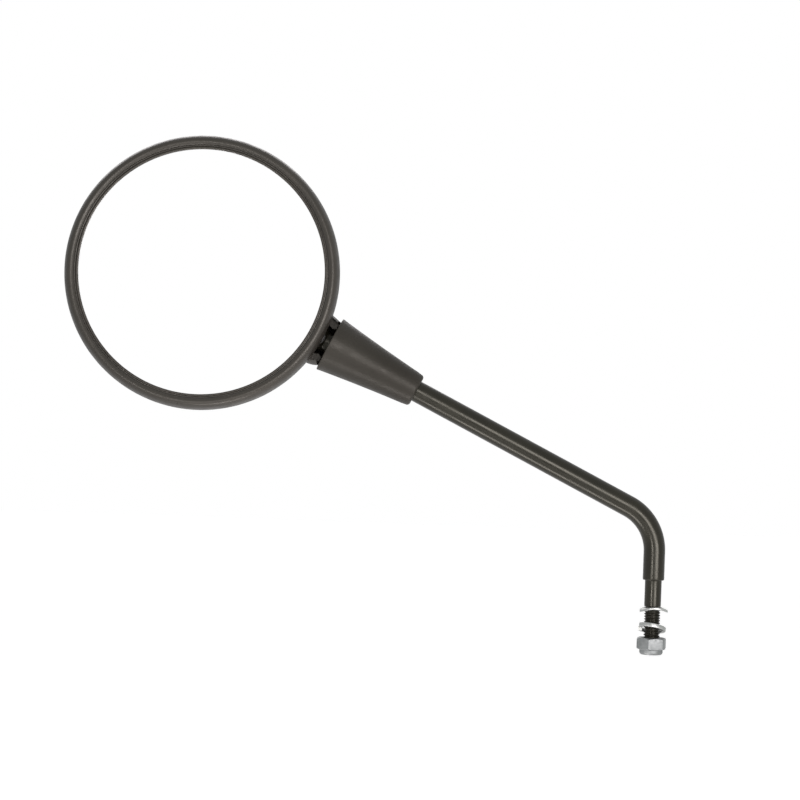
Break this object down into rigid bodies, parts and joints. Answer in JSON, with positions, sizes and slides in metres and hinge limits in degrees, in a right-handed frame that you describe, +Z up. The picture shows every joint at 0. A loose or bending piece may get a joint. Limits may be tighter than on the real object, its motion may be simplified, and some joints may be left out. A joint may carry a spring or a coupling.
{
  "type": "motorcycle mirror",
  "caption": "Round convex rear-view mirror in a domed head, ball-jointed through a tapered boot to a bent bar that ends in a shouldered threaded stud with locking nut.",
  "frame": {"origin": "centre of the shoulder under the bar, where it seats on the bracket, on the stud's axis", "axes": "+Z up the stud towards the bend, the stud leaves along -Z; +X away from the head; the mirror faces -Y"},
  "size_m": [0.2938, 0.0377, 0.2407],
  "materials": {
    "stem_paint": "gloss black paint over steel",
    "boot_plastic": "fine matte moulded black",
    "shell_plastic": "fine matte moulded black",
    "rim_plastic": "fine matte moulded black",
    "mirror": "clear convex mirror glass",
    "gasket_rubber": "soft black rubber",
    "foam": "closed-cell foam",
    "black_plate": "black phosphated pressed steel",
    "seat_plastic": "black acetal",
    "zinc_screw": "zinc plated steel",
    "zinc_washer": "zinc plated spring steel",
    "zinc_nut": "zinc plated steel",
    "nylon": "natural nylon"
  },
  "bodies": {
    "bar": {"stem": "stem_paint"},
    "boot": {"boot": "boot_plastic"},
    "fastening": {"curved_washer": "zinc_washer", "lock_washer": "zinc_washer", "lock_nut": "zinc_nut", "nylon_ring": "nylon"},
    "rear_pad": {"rear_seat_pad": "seat_plastic"},
    "front_pad": {"front_seat_pad": "seat_plastic"},
    "head": {"back_shell": "shell_plastic", "rim": "rim_plastic", "mirror_glass": "mirror", "gasket": "gasket_rubber", "backing_pad": "foam", "clamp_plate": "black_plate", "clamp_screw_1": "zinc_screw", "clamp_screw_2": "zinc_screw", "clamp_screw_3": "zinc_screw", "screw_washer_1": "zinc_screw", "screw_washer_2": "zinc_screw", "screw_washer_3": "zinc_screw"}
  },
  "joints": [
    {"name": "boot_slide", "type": "slide", "parent": "bar", "child": "boot", "axis": [0.8949, 0, -0.4462], "range_m": [0, 0.09]},
    {"name": "nut_off", "type": "slide", "parent": "bar", "child": "fastening", "axis": [0, 0, -1], "range_m": [0, 0.04]},
    {"name": "head_spin", "type": "hinge", "parent": "bar", "child": "rear_pad", "pos_m": [-0.16503, 0, 0.11068], "axis": [-0.8949, 0, 0.4462], "continuous": true},
    {"name": "head_yaw", "type": "hinge", "parent": "rear_pad", "child": "front_pad", "pos_m": [-0.16503, 0, 0.11068], "axis": [-0.0024, -0.9976, 0.0694], "range_deg": [-16, 16]},
    {"name": "head_pitch", "type": "hinge", "parent": "front_pad", "child": "head", "pos_m": [-0.16503, 0, 0.11068], "axis": [0.4516, 0.0608, 0.8901], "range_deg": [-12, 12]}
  ]
}
